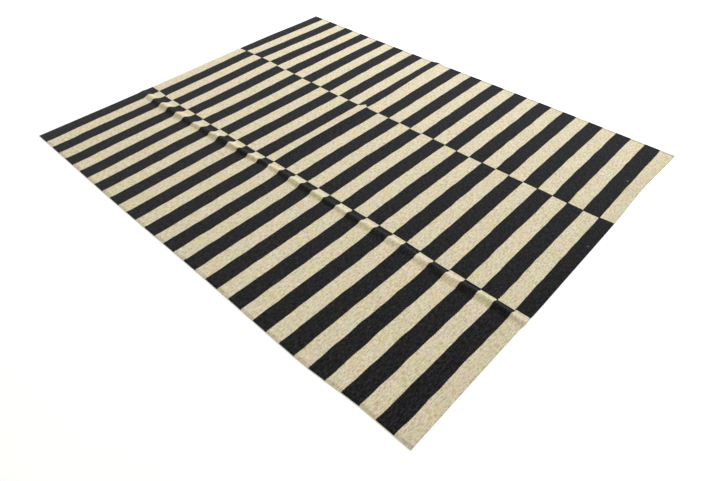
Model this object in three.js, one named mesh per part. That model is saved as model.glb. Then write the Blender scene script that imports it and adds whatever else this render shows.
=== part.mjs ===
import * as THREE from 'three';

// Kilim rug lying flat on a floor: one woven cloth, as it came off its loom, with a soft ripple that
// runs from end to end beside the first column of bars and a low crease that crosses it.
// Millimetres, +Z up. +X runs along the length, +Y across the width from the first selvedge to the
// last. The origin is on the floor, in the middle of the rug's outline.
// A place on the rug is given as "along", from the start end, and "across", from the first selvedge.

// Driving dimensions
const LENGTH = 2520; // corner to corner
const WIDTH = 2000; // corner to corner
const THICKNESS = 3; // of the weave
const CORD_COUNT = 2; // thick warp cords inside each selvedge
const CORD_PITCH = 6; // from one cord to the next
const CORD_RISE = 1; // how far a cord stands above the weave
const EDGE_DROP = 0.8; // how far the rounded selvedge falls below the weave's face
const CREASE_WIDTH = 90; // of the low crease that crosses the rug, foot to foot

// The line where the first column of bars meets the second, which the ripple keeps to.
const FIRST_JOIN = [
  { at: 0, across: 677 },
  { at: 200, across: 671 },
  { at: 950, across: 670 },
  { at: 1330, across: 678 },
  { at: 1860, across: 678 },
  { at: 2130, across: 673 },
  { at: 2520, across: 676 },
];

// How far each edge bows out past the straight line between its corners.
const START_END = [
  { at: 0, out: 8 },
  { at: 450, out: 5 },
  { at: 900, out: 8 },
  { at: 1200, out: 14 },
  { at: 1550, out: 13 },
  { at: 1880, out: 3 },
  { at: 2000, out: 2 },
];
const FINISH_END = [
  { at: 0, out: -5 },
  { at: 600, out: -3 },
  { at: 720, out: 1 },
  { at: 900, out: 0 },
  { at: 1340, out: -3 },
  { at: 1640, out: -12 },
  { at: 1900, out: -5 },
  { at: 2000, out: -3 },
];
const FIRST_SELVEDGE = [
  { at: 0, out: 3 },
  { at: 300, out: 6 },
  { at: 850, out: 11 },
  { at: 1400, out: 9 },
  { at: 2020, out: 13 },
  { at: 2330, out: -3 },
  { at: 2520, out: -3 },
];
const LAST_SELVEDGE = [
  { at: 0, out: 0 },
  { at: 650, out: -1 },
  { at: 1400, out: 7 },
  { at: 1850, out: 8 },
  { at: 2520, out: 4 },
];

// The ripple. height is its rise, crest the distance of its top from the first join, front the width
// of the steep side that faces the first selvedge, back that of the side that falls towards the join.
const RIPPLE = [
  { at: 0, height: 3, crest: 64, front: 40, back: 30 },
  { at: 75, height: 10, crest: 68, front: 46, back: 32 },
  { at: 150, height: 12, crest: 74, front: 34, back: 54 },
  { at: 290, height: 17, crest: 71, front: 38, back: 54 },
  { at: 400, height: 15, crest: 71, front: 36, back: 54 },
  { at: 515, height: 10, crest: 66, front: 30, back: 52 },
  { at: 660, height: 14, crest: 62, front: 27, back: 46 },
  { at: 740, height: 17, crest: 55, front: 46, back: 44 },
  { at: 890, height: 13, crest: 53, front: 20, back: 40 },
  { at: 1035, height: 12, crest: 42, front: 25, back: 33 },
  { at: 1110, height: 7, crest: 34, front: 30, back: 24 },
  { at: 1150, height: 9, crest: 36, front: 28, back: 28 },
  { at: 1335, height: 13, crest: 42, front: 38, back: 37 },
  { at: 1445, height: 11, crest: 40, front: 30, back: 34 },
  { at: 1555, height: 8, crest: 38, front: 22, back: 29 },
  { at: 1630, height: 10, crest: 42, front: 28, back: 37 },
  { at: 1780, height: 11, crest: 36, front: 48, back: 31 },
  { at: 1890, height: 9, crest: 32, front: 40, back: 24 },
  { at: 2000, height: 6, crest: 29, front: 44, back: 18 },
  { at: 2075, height: 14, crest: 37, front: 42, back: 32 },
  { at: 2150, height: 11, crest: 31, front: 50, back: 24 },
  { at: 2225, height: 13, crest: 36, front: 46, back: 31 },
  { at: 2335, height: 13, crest: 28, front: 42, back: 23 },
  { at: 2445, height: 11, crest: 33, front: 32, back: 28 },
  { at: 2520, height: 6, crest: 33, front: 32, back: 28 },
];
const CREST_SHARPNESS = 1.5; // 1 is a plain wave

// The low crease that crosses the rug from the ripple to the last selvedge, by its place across:
// how far along its top lies, and its rise.
const CREASE = [
  { at: 560, along: 1098, height: 0 },
  { at: 760, along: 1096, height: 4 },
  { at: 1340, along: 1094, height: 5 },
  { at: 2000, along: 1086, height: 6 },
];

// The grid that the cloth is made on
const ALONG_STEP = 60;
const ACROSS_STEP = 130;
const STEPS_PER_CORD = 3;
const FRONT_STEPS = 6;
const BACK_STEPS = 7;
const CREASE_STEPS = 8;
const SLOPE_STEP = 0.5; // for working out how steep the cloth is

const WOOL = { color: 0xe0d2b0, roughness: 0.95, metalness: 0 };

// Slope of a smooth line through row i of a table, flat where the row is a high or a low.
function slopeAt(rows, i, column) {
  if (i === 0 || i === rows.length - 1) return 0;
  const before = (rows[i][column] - rows[i - 1][column]) / (rows[i].at - rows[i - 1].at);
  const after = (rows[i + 1][column] - rows[i][column]) / (rows[i + 1].at - rows[i].at);
  if (before * after <= 0) return 0;
  return (2 * before * after) / (before + after);
}

// Value of a table's column at a place, on a smooth line through its rows.
function lookUp(rows, at, column) {
  const place = THREE.MathUtils.clamp(at, rows[0].at, rows[rows.length - 1].at);
  const next = rows.findIndex((row, i) => i > 0 && place <= row.at);
  const i = next - 1;
  const span = rows[next].at - rows[i].at;
  const t = (place - rows[i].at) / span;
  const ease = t * t * (3 - 2 * t);
  const leaving = slopeAt(rows, i, column) * span * t * (1 - t) * (1 - t);
  const arriving = slopeAt(rows, next, column) * span * t * t * (1 - t);
  return THREE.MathUtils.lerp(rows[i][column], rows[next][column], ease) + leaving - arriving;
}

// Lines that bound the cloth and its first column.
const firstSelvedge = (along) => -lookUp(FIRST_SELVEDGE, along, 'out');
const lastSelvedge = (along) => WIDTH + lookUp(LAST_SELVEDGE, along, 'out');
const startEnd = (across) => -lookUp(START_END, across, 'out');
const finishEnd = (across) => LENGTH + lookUp(FINISH_END, across, 'out');
const firstJoin = (along) => lookUp(FIRST_JOIN, along, 'across');

// A soft hump: 1 at its top, falling to 0 at a reach to either side.
function hump(away, reach) {
  return Math.abs(away) < reach ? (1 + Math.cos((Math.PI * away) / reach)) / 2 : 0;
}

// How far the ripple and the crease lift the cloth off the floor.
function liftAt(along, across) {
  const past = across - firstJoin(along) + lookUp(RIPPLE, along, 'crest');
  const reach = lookUp(RIPPLE, along, past < 0 ? 'front' : 'back');
  const ripple = lookUp(RIPPLE, along, 'height') * hump(past, reach) ** CREST_SHARPNESS;
  const beyond = along - lookUp(CREASE, across, 'along');
  const crease = lookUp(CREASE, across, 'height') * hump(beyond, CREASE_WIDTH / 2);
  return Math.max(ripple, crease);
}

// Height of the selvedge cords over the weave's face, at a distance in from the selvedge.
function cordRise(inward) {
  if (inward >= CORD_COUNT * CORD_PITCH) return 0;
  const wave = Math.abs(Math.sin((Math.PI * inward) / CORD_PITCH));
  return CORD_RISE * wave - EDGE_DROP * Math.max(0, 1 - (2 * inward) / CORD_PITCH);
}

// Evenly spaced places from one value to another, the last left out.
function spread(from, to, count) {
  return Array.from({ length: count }, (_, i) => THREE.MathUtils.lerp(from, to, i / count));
}

const stepsIn = (length, step) => Math.round(length / step);

// Places along the cloth, close together where the crease crosses it.
function placesAlong() {
  const crease = lookUp(CREASE, WIDTH / 2, 'along');
  const from = crease - CREASE_WIDTH / 2;
  const to = crease + CREASE_WIDTH / 2;
  return [
    ...spread(0, from, stepsIn(from, ALONG_STEP)),
    ...spread(from, to, CREASE_STEPS),
    ...spread(to, LENGTH, stepsIn(LENGTH - to, ALONG_STEP)),
    LENGTH,
  ];
}

// Places across the cloth, close together at the selvedge cords and over the ripple.
function placesAcross(along) {
  const low = firstSelvedge(along);
  const high = lastSelvedge(along);
  const join = firstJoin(along);
  const crest = join - lookUp(RIPPLE, along, 'crest');
  const foot = crest - lookUp(RIPPLE, along, 'front');
  const heel = crest + lookUp(RIPPLE, along, 'back');
  const cords = CORD_COUNT * CORD_PITCH;
  const cordSteps = CORD_COUNT * STEPS_PER_CORD;
  return [
    ...spread(low, low + cords, cordSteps),
    ...spread(low + cords, foot, stepsIn(firstJoin(0), ACROSS_STEP)),
    ...spread(foot, crest, FRONT_STEPS),
    ...spread(crest, heel, BACK_STEPS),
    heel,
    ...spread(join, high - cords, stepsIn(WIDTH - firstJoin(0), ACROSS_STEP)),
    ...spread(high - cords, high, cordSteps),
    high,
  ];
}

// The cloth is a box of even steps whose points are moved to their places: those of the upper side
// onto its face, those of the lower side one thickness below, square to the face.
function makeCloth() {
  const alongs = placesAlong();
  const acrosses = alongs.map(placesAcross);
  const stepsAlong = alongs.length - 1;
  const stepsAcross = acrosses[0].length - 1;
  const cloth = new THREE.BoxGeometry(1, 1, 1, stepsAlong, stepsAcross, 1);
  const points = cloth.getAttribute('position');
  for (let i = 0; i < points.count; i += 1) {
    const column = Math.round((points.getX(i) + 0.5) * stepsAlong);
    const row = Math.round((points.getY(i) + 0.5) * stepsAcross);
    const across = acrosses[column][row];
    const along = THREE.MathUtils.lerp(startEnd(across), finishEnd(across), alongs[column] / LENGTH);
    const lift = liftAt(along, across);
    const inward = Math.min(across - firstSelvedge(alongs[column]), lastSelvedge(alongs[column]) - across);
    const place = new THREE.Vector3(along, across, lift + THICKNESS + cordRise(inward));
    if (points.getZ(i) < 0) {
      const square = new THREE.Vector3(
        (lift - liftAt(along + SLOPE_STEP, across)) / SLOPE_STEP,
        (lift - liftAt(along, across + SLOPE_STEP)) / SLOPE_STEP,
        1,
      ).normalize();
      place.z = lift + THICKNESS;
      place.addScaledVector(square, -THICKNESS);
    }
    points.setXYZ(i, place.x, place.y, place.z);
  }
  cloth.computeBoundingBox();
  const middle = cloth.boundingBox.getCenter(new THREE.Vector3());
  cloth.translate(-middle.x, -middle.y, 0);
  cloth.computeVertexNormals();
  return cloth;
}

const cloth = new THREE.Mesh(makeCloth(), new THREE.MeshStandardMaterial(WOOL));
cloth.name = 'rug_cloth';

const rug = new THREE.Group();
rug.add(cloth);

export default rug;
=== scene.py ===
import bisect
import math

import bmesh
import bpy
from mathutils import Matrix, Vector, noise


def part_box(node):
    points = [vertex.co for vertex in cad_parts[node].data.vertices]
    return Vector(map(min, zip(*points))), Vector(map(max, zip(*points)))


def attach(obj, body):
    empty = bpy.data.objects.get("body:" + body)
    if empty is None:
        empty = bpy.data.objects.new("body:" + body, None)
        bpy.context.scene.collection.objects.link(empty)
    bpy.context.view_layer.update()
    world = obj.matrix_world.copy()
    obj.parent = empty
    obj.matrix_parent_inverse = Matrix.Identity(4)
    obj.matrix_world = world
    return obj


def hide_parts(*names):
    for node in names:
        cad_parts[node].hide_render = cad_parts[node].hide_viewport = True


# A flat-woven wool rug, spread out on a pale floor. Its places are given as on a loom: "along" from
# the start end and "across" from the first selvedge, in millimetres. The finished piece is in metres,
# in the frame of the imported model. Its pattern is counted in bars along and in ribs across.

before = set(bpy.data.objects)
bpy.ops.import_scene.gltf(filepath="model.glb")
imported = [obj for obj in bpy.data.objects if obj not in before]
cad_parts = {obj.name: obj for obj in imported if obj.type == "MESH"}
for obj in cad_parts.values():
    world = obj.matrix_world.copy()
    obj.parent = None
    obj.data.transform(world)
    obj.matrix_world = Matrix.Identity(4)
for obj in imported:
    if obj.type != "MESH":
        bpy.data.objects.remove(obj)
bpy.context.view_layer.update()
MM = 0.001


def table(columns, *rows):
    """Rows of a table, each with its values by the names of the columns."""
    return [dict(zip(columns.split(), row)) for row in rows]


# The cloth
LENGTH = 2520  # corner to corner
WIDTH = 2000  # corner to corner
THICKNESS = 3
CORD_COUNT = 2  # thick warp cords inside each selvedge
CORD_PITCH = 6
CORDS = CORD_COUNT * CORD_PITCH
CORD_RISE = 1
EDGE_DROP = 0.8  # rounding of the selvedges
END_DROP = 0.7  # rounding of the two ends
END_ROUNDING = 3  # how far in from an end its rounding starts

# The weave
BARS = 34
BAR = LENGTH / BARS
BAR_WOBBLE = 2.8  # how far a bar's edge strays from its smooth line
WOBBLE_LENGTH = 70  # over which it strays
WOBBLE_SHIFT = 400  # which makes each edge stray in its own way
RIB_PITCH = 5.25  # each rib is a warp cord under its weft
RIB_DEPTH = 0.6  # of the groove between two ribs
STEPS_PER_RIB = 3
PICKS_PER_BAR = 46  # weft threads
EXTRA_PICKS = 1  # that a black bar takes from the cream one to either side
END_PICKS = 2  # that keep the colour of the rug's own end

# Lines on the cloth that run along it
FIRST_SELVEDGE = table(
    "at out", (0, 3), (300, 6), (850, 11), (1400, 9), (2020, 13), (2330, -3), (2520, -3)
)
LAST_SELVEDGE = table("at out", (0, 0), (650, -1), (1400, 7), (1850, 8), (2520, 4))
FIRST_JOIN = table(
    "at across", (0, 677), (200, 671), (950, 670), (1330, 678), (1860, 678), (2130, 673), (2520, 676)
)
SECOND_JOIN = table(
    "at across", (0, 1336), (280, 1342), (480, 1333), (1000, 1332), (1120, 1338), (1450, 1343),
    (1950, 1342), (2070, 1347), (2400, 1347), (2520, 1355),
)

# The two ends, and how far bar edges lie past even spacing, by the place across
START_END = table("at out", (0, 8), (450, 5), (900, 8), (1200, 14), (1550, 13), (1880, 3), (2000, 2))
FINISH_END = table(
    "at out", (0, -5), (600, -3), (720, 1), (900, 0), (1340, -3), (1640, -12), (1900, -5), (2000, -3)
)
BAR_DRIFT = table(
    "at edge_1 edge_4 edge_7 edge_10 edge_14 edge_16 edge_20 edge_24 edge_28 edge_33",
    (10, 3, 0, 5, 2, 2, 0, 2, 2, 4, 0),
    (60, 3, 0, 5, 2, 2, 0, 2, 2, 4, 4),
    (200, -2, -4, 0, 0, 0, 0, 2, 3, 5, 6),
    (500, -3, -6, -8, -6, -2, -1, 2, 6, 10, 9),
    (710, -6, -6, -5, -5, -1, -6, 0, 5, 12, 13),
    (1000, -11, -10, -2, -1, 4, -6, -3, 3, 9, 10),
    (1300, -22, -20, -9, 0, 6, -3, 0, 4, 7, 9),
    (1450, -15, -16, -10, -2, 3, -3, -2, 2, 3, 5),
    (1700, -7, -6, -10, -6, 1, -7, -5, 1, 0, 3),
    (1950, -1, 0, -7, -7, 0, -8, -7, -2, -2, 1),
)
# The fifteenth bar is woven thin from the first join on, and its far edge bends there.
THIN_BAR = 15
THIN_BAR_EDGE = table(
    "at drift", (20, 5), (480, 0), (590, -1), (645, -12), (690, -15), (900, -19), (1200, -15),
    (1330, -11), (1390, -6), (1550, -9), (1750, -17), (1880, -22), (2000, -20),
)

# The ripple beside the first join. height is its rise, crest the distance of its top from the join,
# front the width of the steep side that faces the first selvedge, back that of the other side.
RIPPLE = table(
    "at height crest front back",
    (0, 3, 64, 40, 30),
    (75, 10, 68, 46, 32),
    (150, 12, 74, 34, 54),
    (290, 17, 71, 38, 54),
    (400, 15, 71, 36, 54),
    (515, 10, 66, 30, 52),
    (660, 14, 62, 27, 46),
    (740, 17, 55, 46, 44),
    (890, 13, 53, 20, 40),
    (1035, 12, 42, 25, 33),
    (1110, 7, 34, 30, 24),
    (1150, 9, 36, 28, 28),
    (1335, 13, 42, 38, 37),
    (1445, 11, 40, 30, 34),
    (1555, 8, 38, 22, 29),
    (1630, 10, 42, 28, 37),
    (1780, 11, 36, 48, 31),
    (1890, 9, 32, 40, 24),
    (2000, 6, 29, 44, 18),
    (2075, 14, 37, 42, 32),
    (2150, 11, 31, 50, 24),
    (2225, 13, 36, 46, 31),
    (2335, 13, 28, 42, 23),
    (2445, 11, 33, 32, 28),
    (2520, 6, 33, 32, 28),
)
CREST_SHARPNESS = 1.5  # 1 is a plain wave

# The low crease that crosses the rug from the ripple to the last selvedge
CREASE = table("at along height", (560, 1098, 0), (760, 1096, 4), (1340, 1094, 5), (2000, 1086, 6))
CREASE_WIDTH = 90
SLOPE_STEP = 0.5  # for working out how steep the cloth is


def smooth_line(rows, column):
    """The smooth line through a column of a table, flat where a row is a high or a low."""
    places = [row["at"] for row in rows]
    values = [row[column] for row in rows]
    steps = list(zip(places, places[1:], values, values[1:]))
    rises = [(high - low) / (end - start) for start, end, low, high in steps]
    slopes = [2 * a * b / (a + b) if a * b > 0 else 0.0 for a, b in zip(rises, rises[1:])]
    slopes = [0.0, *slopes, 0.0]

    def value(place):
        i = min(max(bisect.bisect_right(places, place) - 1, 0), len(steps) - 1)
        start, end, low, high = steps[i]
        span = end - start
        t = min(max((place - start) / span, 0.0), 1.0)
        ease = t * t * (3 - 2 * t)
        leaving = slopes[i] * span * t * (1 - t) ** 2
        arriving = slopes[i + 1] * span * t * t * (1 - t)
        return low + (high - low) * ease + leaving - arriving

    return value


first_selvedge_out = smooth_line(FIRST_SELVEDGE, "out")
last_selvedge_out = smooth_line(LAST_SELVEDGE, "out")
first_join = smooth_line(FIRST_JOIN, "across")
second_join = smooth_line(SECOND_JOIN, "across")
start_out = smooth_line(START_END, "out")
finish_out = smooth_line(FINISH_END, "out")
thin_bar_drift = smooth_line(THIN_BAR_EDGE, "drift")
ripple_height = smooth_line(RIPPLE, "height")
ripple_crest = smooth_line(RIPPLE, "crest")
ripple_front = smooth_line(RIPPLE, "front")
ripple_back = smooth_line(RIPPLE, "back")
crease_along = smooth_line(CREASE, "along")
crease_height = smooth_line(CREASE, "height")


def hump(away, reach):
    """A soft hump: 1 at its top, falling to 0 at a reach to either side."""
    return (1 + math.cos(math.pi * away / reach)) / 2 if abs(away) < reach else 0.0


def lift_at(along, across):
    """How far the ripple and the crease lift the cloth off the floor."""
    past = across - first_join(along) + ripple_crest(along)
    reach = ripple_front(along) if past < 0 else ripple_back(along)
    ripple = ripple_height(along) * hump(past, reach) ** CREST_SHARPNESS
    crease = crease_height(across) * hump(along - crease_along(across), CREASE_WIDTH / 2)
    return max(ripple, crease)


def face_direction(along, across, lift):
    """The direction square to the cloth's face."""
    towards_finish = lift - lift_at(along + SLOPE_STEP, across)
    towards_last = lift - lift_at(along, across + SLOPE_STEP)
    return Vector((towards_finish, towards_last, SLOPE_STEP)).normalized()


def cord_rise(inward):
    """Height of the selvedge cords over the weave's face, at a distance in from the selvedge."""
    if inward >= CORDS:
        return 0.0
    wave = abs(math.sin(math.pi * inward / CORD_PITCH))
    return CORD_RISE * wave - EDGE_DROP * max(0.0, 1 - 2 * inward / CORD_PITCH)


def ribs_between(start, end):
    """How many ribs fill a width of the cloth."""
    return round((end - start) / RIB_PITCH)


# The grid that the cloth is made on: its rows lie on the bar edges, closer together at the crease
# and the ends, and its columns lie on the ribs.
CREASE_ROWS = [14.25, 14.5, 14.75, 15.2, 15.4, 15.6]
END_ROWS = [END_ROUNDING / BAR, BARS - END_ROUNDING / BAR]
ROWS = sorted([*range(BARS + 1), *CREASE_ROWS, *END_ROWS])
MIDDLE = LENGTH / 2
RIB_STRETCHES = [
    CORD_COUNT,
    ribs_between(CORDS, first_join(MIDDLE)),
    ribs_between(first_join(MIDDLE), second_join(MIDDLE)),
    ribs_between(second_join(MIDDLE), WIDTH - CORDS),
    CORD_COUNT,
]
FIRST_JOIN_RIB = sum(RIB_STRETCHES[:2])
SECOND_JOIN_RIB = sum(RIB_STRETCHES[:3])
RIBS = sum(RIB_STRETCHES)
COLUMNS = RIBS * STEPS_PER_RIB

box_low, box_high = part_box("rug_cloth")
ORIGIN = Vector((
    -max(row["out"] for row in START_END) - box_low.x / MM,
    -max(row["out"] for row in FIRST_SELVEDGE) - box_low.y / MM,
    0,
))


def rib_places(along):
    """Where each column of the grid lies across the cloth, in one of its rows."""
    low = -first_selvedge_out(along)
    high = WIDTH + last_selvedge_out(along)
    bounds = [low, low + CORDS, first_join(along), second_join(along), high - CORDS, high]
    places = [low]
    for start, end, ribs in zip(bounds, bounds[1:], RIB_STRETCHES):
        steps = ribs * STEPS_PER_RIB
        places += [start + (end - start) * (i + 1) / steps for i in range(steps)]
    return places


def bar_edges(across):
    """How far each row's line lies past even spacing, at a place across the cloth."""
    edges = [{"at": 0, "drift": -start_out(across)}]
    for column in list(BAR_DRIFT[0])[1:]:
        drift = smooth_line(BAR_DRIFT, column)(across)
        edges.append({"at": int(column.split("_")[1]), "drift": drift})
    edges.append({"at": THIN_BAR, "drift": thin_bar_drift(across)})
    edges.append({"at": BARS, "drift": finish_out(across)})
    return smooth_line(sorted(edges, key=lambda edge: edge["at"]), "drift")


def wobble(row, across):
    """How far a bar's edge strays from its smooth line."""
    if ROWS[row] not in range(1, BARS):
        return 0.0
    place = Vector((across / WOBBLE_LENGTH, WOBBLE_SHIFT * row / WOBBLE_LENGTH, 0))
    return BAR_WOBBLE * noise.noise(place)


def flat_grid():
    """A closed sheet of even steps: a grid whose copy above it is joined to it round the rim. Its
    points are at whole numbers, by row, by column and by side, 0 for the lower and 1 for the upper,
    and its faces are in order by side, row and column."""
    mesh = bmesh.new()
    bmesh.ops.create_grid(mesh, x_segments=len(ROWS) - 1, y_segments=COLUMNS, size=1)
    for point in mesh.verts:
        row = round((point.co.x + 1) / 2 * (len(ROWS) - 1))
        column = round((point.co.y + 1) / 2 * COLUMNS)
        point.co = (row, column, 0)
    raised = bmesh.ops.extrude_face_region(mesh, geom=mesh.faces[:], use_keep_orig=True)
    for point in raised["geom"]:
        if isinstance(point, bmesh.types.BMVert):
            point.co.z = 1
    # A row counts double, so that no two faces of the rim get the same number.
    next_row = 2 * (COLUMNS + 1)
    next_side = 2 * len(ROWS) * next_row
    steps = Vector((next_row, 1, next_side))
    mesh.faces.sort(key=lambda face: face.calc_center_median().dot(steps))
    return mesh


def lay_out(mesh):
    """Moves each point of the grid to its place on the cloth, and tells its bar and its rib."""
    across_in_row = [rib_places(row * BAR) for row in ROWS]
    drift_in_column = [bar_edges(place) for place in across_in_row[len(ROWS) // 2]]
    spots = {}
    for point in mesh.verts:
        row, column, upper = (round(part) for part in point.co)
        spots[point] = (ROWS[row], column / STEPS_PER_RIB)
        across = across_in_row[row][column]
        along = ROWS[row] * BAR + drift_in_column[column](ROWS[row]) + wobble(row, across)
        inward = min(across - across_in_row[row][0], across_in_row[row][-1] - across)
        groove = RIB_DEPTH if column % STEPS_PER_RIB == 0 and inward > CORDS else 0.0
        if row in (0, len(ROWS) - 1):
            groove += END_DROP
        lift = lift_at(along, across)
        place = Vector((along, across, lift + THICKNESS))
        if upper:
            place.z += cord_rise(inward) - groove
        else:
            edge = EDGE_DROP if inward == 0 else 0.0
            place -= face_direction(along, across, lift) * (THICKNESS - max(groove, edge))
        point.co = (place - ORIGIN) * MM
    return spots


def add_piece(name, mesh):
    """Makes a finished mesh an object of the scene."""
    data = bpy.data.meshes.new(name)
    mesh.to_mesh(data)
    mesh.free()
    piece = bpy.data.objects.new(name, data)
    bpy.context.scene.collection.objects.link(piece)
    return piece


def woven_cloth():
    """The cloth as one closed sheet, creased in its grooves, with a map that counts bars along and
    ribs across."""
    mesh = flat_grid()
    spots = lay_out(mesh)
    for edge in mesh.edges:
        (bar, rib), (other_bar, other_rib) = (spots[point] for point in edge.verts)
        edge.smooth = not (rib == other_rib == int(rib) and bar != other_bar)
    weave = mesh.loops.layers.uv.new("weave")
    for face in mesh.faces:
        face.smooth = True
        for corner in face.loops:
            corner[weave].uv = spots[corner.vert]
    bmesh.ops.recalc_face_normals(mesh, faces=mesh.faces[:])
    return add_piece("woven_cloth", mesh)


class Value:
    """A socket of a material's node, with arithmetic."""

    def __init__(self, finish, socket):
        self.finish = finish
        self.socket = socket

    def part(self, name):
        """Another output of the same node."""
        return Value(self.finish, self.socket.node.outputs[name])

    def work(self, operation, *values):
        """A Math node on some values."""
        return self.finish.node("ShaderNodeMath", {"operation": operation}, dict(enumerate(values)))

    def __add__(self, other):
        return self.work("ADD", self, other)

    def __sub__(self, other):
        return self.work("SUBTRACT", self, other)

    def __rsub__(self, other):
        return self.work("SUBTRACT", other, self)

    def __neg__(self):
        return 0.0 - self

    def __mul__(self, other):
        return self.work("MULTIPLY", self, other)

    def __truediv__(self, other):
        return self.work("DIVIDE", self, other)

    def __mod__(self, other):
        return self.work("FLOORED_MODULO", self, other)

    def __lt__(self, other):
        return self.work("LESS_THAN", self, other)

    def __gt__(self, other):
        return self.work("GREATER_THAN", self, other)

    __radd__ = __add__
    __rmul__ = __mul__

    def floor(self):
        return self.work("FLOOR", self)

    def size(self):
        return self.work("ABSOLUTE", self)

    def least(self, other):
        return self.work("MINIMUM", self, other)

    def most(self, other):
        return self.work("MAXIMUM", self, other)


class Finish:
    """A material and the nodes that make it."""

    def __init__(self, name):
        self.material = bpy.data.materials.new(name)
        self.material.use_nodes = True
        self.tree = self.material.node_tree
        self.tree.nodes.clear()

    def node(self, kind, settings=None, inputs=None, output=0):
        """A node with its settings, and with a number or a link for each socket that is named."""
        made = self.tree.nodes.new(kind)
        for name, value in (settings or {}).items():
            setattr(made, name, value)
        for name, value in (inputs or {}).items():
            if isinstance(value, Value):
                self.tree.links.new(value.socket, made.inputs[name])
            else:
                made.inputs[name].default_value = value
        return Value(self, made.outputs[output]) if made.outputs else None

    def point(self, x, y, z=0.0):
        """A vector from three values."""
        return self.node("ShaderNodeCombineXYZ", None, {"X": x, "Y": y, "Z": z})

    def noise(self, point, scale=1.0, detail=2.0, roughness=0.5):
        """Soft noise about 0, seldom past 0.4 either way."""
        inputs = {"Vector": point, "Scale": scale, "Detail": detail, "Roughness": roughness}
        return self.node("ShaderNodeTexNoise", None, inputs) - 0.5

    def chance(self, point):
        """A random number from 0 to 1 for each whole point."""
        return self.node("ShaderNodeTexWhiteNoise", {"noise_dimensions": "3D"}, {"Vector": point})

    def mix(self, share, low, high):
        """A colour between two."""
        return self.node("ShaderNodeMix", {"data_type": "RGBA"}, {0: share, 6: low, 7: high}, 2)

    def blend(self, across, down, tints):
        """A colour between four, given as two rows of two."""
        rows = [self.mix(across, *row) for row in tints]
        return self.mix(down, *rows)

    def shade(self, tint, amount):
        """A colour made lighter or darker."""
        return self.node("ShaderNodeVectorMath", {"operation": "SCALE"}, {0: tint, "Scale": amount})

    def surface(self, inputs):
        """Ends the material in a surface with these values."""
        shader = self.node("ShaderNodeBsdfPrincipled", None, inputs)
        self.node("ShaderNodeOutputMaterial", None, {"Surface": shader})
        return self.material


def colour(red, green, blue):
    """A colour given as 0 to 255 on a screen, as the light it reflects."""
    parts = [part / 255 for part in (red, green, blue)]
    linear = [((part + 0.055) / 1.055) ** 2.4 if part > 0.04045 else part / 12.92 for part in parts]
    return (*linear, 1.0)


# Four tints of each wool: between the rows and between the columns it changes slowly over the cloth.
CREAM = (
    (colour(208, 203, 164), colour(216, 201, 168)),
    (colour(209, 203, 177), colour(215, 201, 180)),
)
CHARCOAL = (
    (colour(24, 27, 22), colour(29, 25, 23)),
    (colour(23, 26, 28), colour(28, 24, 30)),
)
ACROSS_SPREAD = 4.0  # how strongly noise moves the wool between the columns
DOWN_SPREAD = 4.5  # and between the rows
CREAM_SHADE = colour(176, 140, 98)  # between the threads of the cream
PALE_FLUFF = colour(150, 148, 142)

# Unevenness of the wool, in patches of a length along the cloth and a width across it
PATCHES = table(
    "kind long wide layer detail roughness",
    ("slub", 6, 9, 5, 1.0, 0.5),
    ("streak", 6, 18, 3, 0.0, 0.5),
    ("cloud", 160, 160, 9, 1.0, 0.5),
    ("between columns", 75, 75, 2, 2.0, 0.8),
    ("between rows", 75, 75, 8, 2.0, 0.8),
)
STRAND_STEP = 0.7  # how far the fibres change from one thread to the next
STRAND_LENGTH = 14  # ribs, over which they change along a thread

# How much each kind of unevenness adds to a light fleck, and how much flecks change each wool
BEAD_FLECK = 0.4
STRAND_FLECK = 0.5
SLUB_FLECK = 0.5
STREAK_FLECK = 0.6
CREAM_CONTRAST = 0.6
CHARCOAL_CONTRAST = 5.0
CREAM_STAIN = 1.3  # how far dark flecks turn the cream to its shade
CLOUD_CONTRAST = 0.1
DARKEST_TONE = 0.05

# How deep the painted shade is in the grooves between two ribs and beside a selvedge cord
RIB_SHADE = 0.1
CORD_SHADE = 0.85

# Relief of the threads and fibres, as bump, next to a thread's own height of 1
STRAND_RELIEF = 1.2
BEAD_RELIEF = 0.3

# The joins between the columns of bars, and how likely a bar's own join is to lie one rib over
JOINS = table("rib chance layer", (FIRST_JOIN_RIB, 0.3, 3), (SECOND_JOIN_RIB, 0.4, 5))

# A tongue of cream that runs past the second join into the thin bar
TONGUE_BAR = 14.57
TONGUE_HALF = 0.45  # of its width, in bars
TONGUE_RIBS = 4

# Bits of pale fluff that are caught in black bars
FLUFF = table("bar across long wide share", (32.75, 1665, 6, 4, 0.55), (33.7, 1153, 6, 4, 0.45))
FLUFF_CORE = 1.3  # how full a bit is in its middle, where 0 is bare


def unevenness(wool, bar_place, rib_place):
    """The noise of each kind of patch, by its name."""
    kinds = {}
    for patch in PATCHES:
        along = bar_place * (BAR / patch["long"])
        across = rib_place * (RIB_PITCH / patch["wide"])
        place = wool.point(along, across, patch["layer"])
        kinds[patch["kind"]] = wool.noise(place, 1.0, patch["detail"], patch["roughness"])
    return kinds


def black_bars(wool, thread, rib):
    """Where a bead of weft is black: 1, or 0 where it is cream."""
    middle = (thread + 0.5) / PICKS_PER_BAR
    past = []
    for join in JOINS:
        over = wool.chance(wool.point(middle.floor(), join["layer"])) > 1 - join["chance"]
        past.append(rib + over > join["rib"] - 0.5)
    past_first, past_second = past
    extra = EXTRA_PICKS / PICKS_PER_BAR
    black = (middle + past_first + past_second + extra) % 2 < 1 + 2 * extra
    beyond = (rib - SECOND_JOIN_RIB + 0.5) / TONGUE_RIBS
    beside = (thread / PICKS_PER_BAR - TONGUE_BAR).size() / TONGUE_HALF
    tongue = (beyond + beside < 1) * past_second
    return black * (1 - tongue)


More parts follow.
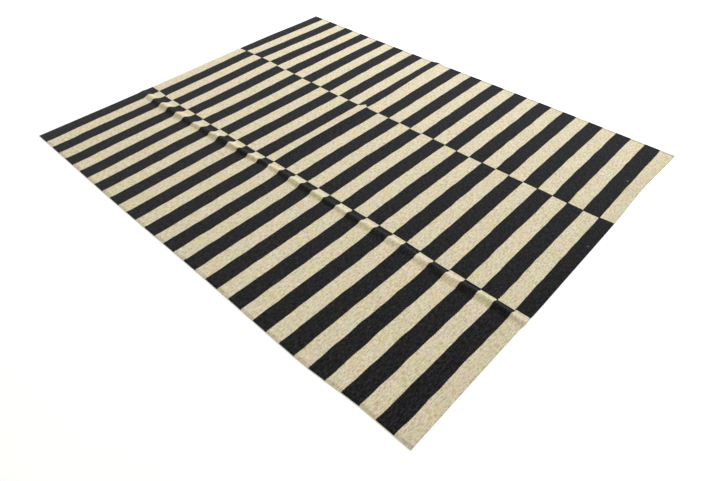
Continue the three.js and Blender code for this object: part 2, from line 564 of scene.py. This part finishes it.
def with_fluff(wool, plain, bar_place, rib_place, strand):
    """The wool's colour with the bits of fluff on it, ragged along the threads."""
    for bit in FLUFF:
        column = bisect.bisect(rib_places(bit["bar"] * BAR), bit["across"])
        away_along = (bar_place - bit["bar"]) * (BAR / bit["long"])
        away_across = (rib_place - column / STEPS_PER_RIB) * (RIB_PITCH / bit["wide"])
        caught = FLUFF_CORE - away_along * away_along - away_across * away_across + strand
        plain = wool.mix(caught * bit["share"], plain, PALE_FLUFF)
    return plain


def painted_groove_shade(rib_place):
    """Painted shade in the grooves between ribs, deeper beside the selvedge cords, and none at the
    rim.
    """
    groove = (rib_place % 1 - 0.5).size() * 2
    from_selvedge = RIBS / 2 - (rib_place - RIBS / 2).size()
    inside = from_selvedge > 0.5
    beside_cord = from_selvedge < CORD_COUNT + 0.5
    depth = inside * (RIB_SHADE + (CORD_SHADE - RIB_SHADE) * beside_cord)
    return groove * groove * groove * depth


def barred_wool():
    """Heathered cream and charcoal wool in a weft-faced weave."""
    wool = Finish("barred_wool")
    weave = wool.node("ShaderNodeUVMap", {"uv_map": "weave"})
    split = wool.node("ShaderNodeSeparateXYZ", None, {0: weave})
    end = END_PICKS / PICKS_PER_BAR
    bar_place = split.most(end).least(BARS - end)
    rib_place = split.part("Y")

    # Each bead of weft, by its thread and its rib. The threads lie in brick order.
    rib = rib_place.floor()
    thread_place = bar_place * PICKS_PER_BAR + rib % 2 * 0.5
    thread = thread_place.floor()
    black = black_bars(wool, thread, rib)

    # Wool that varies from bead to bead, along each thread, and slowly over the cloth
    bead = wool.chance(wool.point(thread, rib, 7.0)) - 0.5
    strand = wool.noise(wool.point(thread * STRAND_STEP, rib_place / STRAND_LENGTH))
    uneven = unevenness(wool, split, rib_place)
    fleck = bead * BEAD_FLECK + strand * STRAND_FLECK
    fleck = fleck + uneven["slub"] * SLUB_FLECK + uneven["streak"] * STREAK_FLECK

    # Its colour, before and after the flecks, darkened by painted shade in the grooves
    across = uneven["between columns"] * ACROSS_SPREAD + 0.5
    down = uneven["between rows"] * DOWN_SPREAD + 0.5
    plain = wool.mix(black, wool.blend(across, down, CREAM), wool.blend(across, down, CHARCOAL))
    plain = with_fluff(wool, plain, bar_place, rib_place, strand)
    stained = wool.mix(-fleck * (1 - black) * CREAM_STAIN, plain, CREAM_SHADE)
    contrast = CREAM_CONTRAST + black * (CHARCOAL_CONTRAST - CREAM_CONTRAST)
    tone = 1.0 + fleck * contrast + uneven["cloud"] * CLOUD_CONTRAST - painted_groove_shade(rib_place)

    # The relief of its threads
    round_thread = (thread_place % 1 - 0.5).size() * 2
    height = 1 - round_thread * round_thread + strand * STRAND_RELIEF + bead * BEAD_RELIEF
    bump = wool.node("ShaderNodeBump", None, {"Strength": 0.8, "Distance": 0.0004, "Height": height})
    return wool.surface({
        "Base Color": wool.shade(stained, tone.most(DARKEST_TONE)),
        "Roughness": 0.9 + bead * 0.1,
        "Normal": bump,
        "Specular IOR Level": 0.06,
        "Sheen Weight": 0.08,
        "Sheen Roughness": 0.5,
    })


def floor_paint():
    """Matt white paint, a little uneven."""
    paint = Finish("floor_paint")
    place = paint.node("ShaderNodeTexCoord", output="Object")
    uneven = paint.noise(place, scale=3.0, detail=3.0) + 0.5
    shade = paint.mix(uneven, colour(252, 252, 252), colour(255, 255, 255))
    return paint.surface({"Base Color": shade, "Roughness": 0.8})


def pale_floor():
    """A plain pale floor, wide enough for every view."""
    mesh = bmesh.new()
    bmesh.ops.create_grid(mesh, x_segments=1, y_segments=1, size=20)
    floor = add_piece("pale_floor", mesh)
    floor.data.materials.append(floor_paint())
    return floor


def soft_light(name, place, aim, size, power, tint):
    """A square soft light at a place, turned to a point."""
    data = bpy.data.lights.new(name, "AREA")
    data.size = size
    data.energy = power
    data.color = tint
    lamp = bpy.data.objects.new(name, data)
    lamp.location = place
    lamp.rotation_euler = (Vector(aim) - Vector(place)).to_track_quat("-Z", "Y").to_euler()
    bpy.context.scene.collection.objects.link(lamp)


def camera():
    """The photograph's viewpoint: at eye height, turned down to a point on the floor."""
    place = Vector((1.6905, -1.6270, 1.6304))
    aim = Vector((0.5303, -0.4404, 0))
    roll = math.radians(-1.59)
    data = bpy.data.cameras.new("camera")
    data.lens = 27.85
    data.sensor_width = 36
    viewer = bpy.data.objects.new("camera", data)
    turn = (aim - place).to_track_quat("-Z", "Y").to_matrix() @ Matrix.Rotation(roll, 3, "Z")
    viewer.matrix_world = Matrix.LocRotScale(place, turn, None)
    bpy.context.scene.collection.objects.link(viewer)
    bpy.context.scene.camera = viewer


def surroundings():
    """Soft, slightly warm light from all round, as in a studio."""
    world = bpy.data.worlds.new("studio")
    world.use_nodes = True
    background = world.node_tree.nodes["Background"].inputs
    background["Color"].default_value = (1.0, 0.965, 0.84, 1)
    background["Strength"].default_value = 0.7
    bpy.context.scene.world = world
    bpy.context.scene.view_settings.view_transform = "Standard"


camera()
surroundings()
soft_light(
    "back_light",
    place=(-1.4, 5.7, 4.0),
    aim=(0, 0, 0),
    size=3,
    power=590,
    tint=(0.92, 0.97, 1.16),
)
pale_floor()

cloth = woven_cloth()
cloth.data.materials.append(barred_wool())
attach(cloth, "root")
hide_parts("rug_cloth")
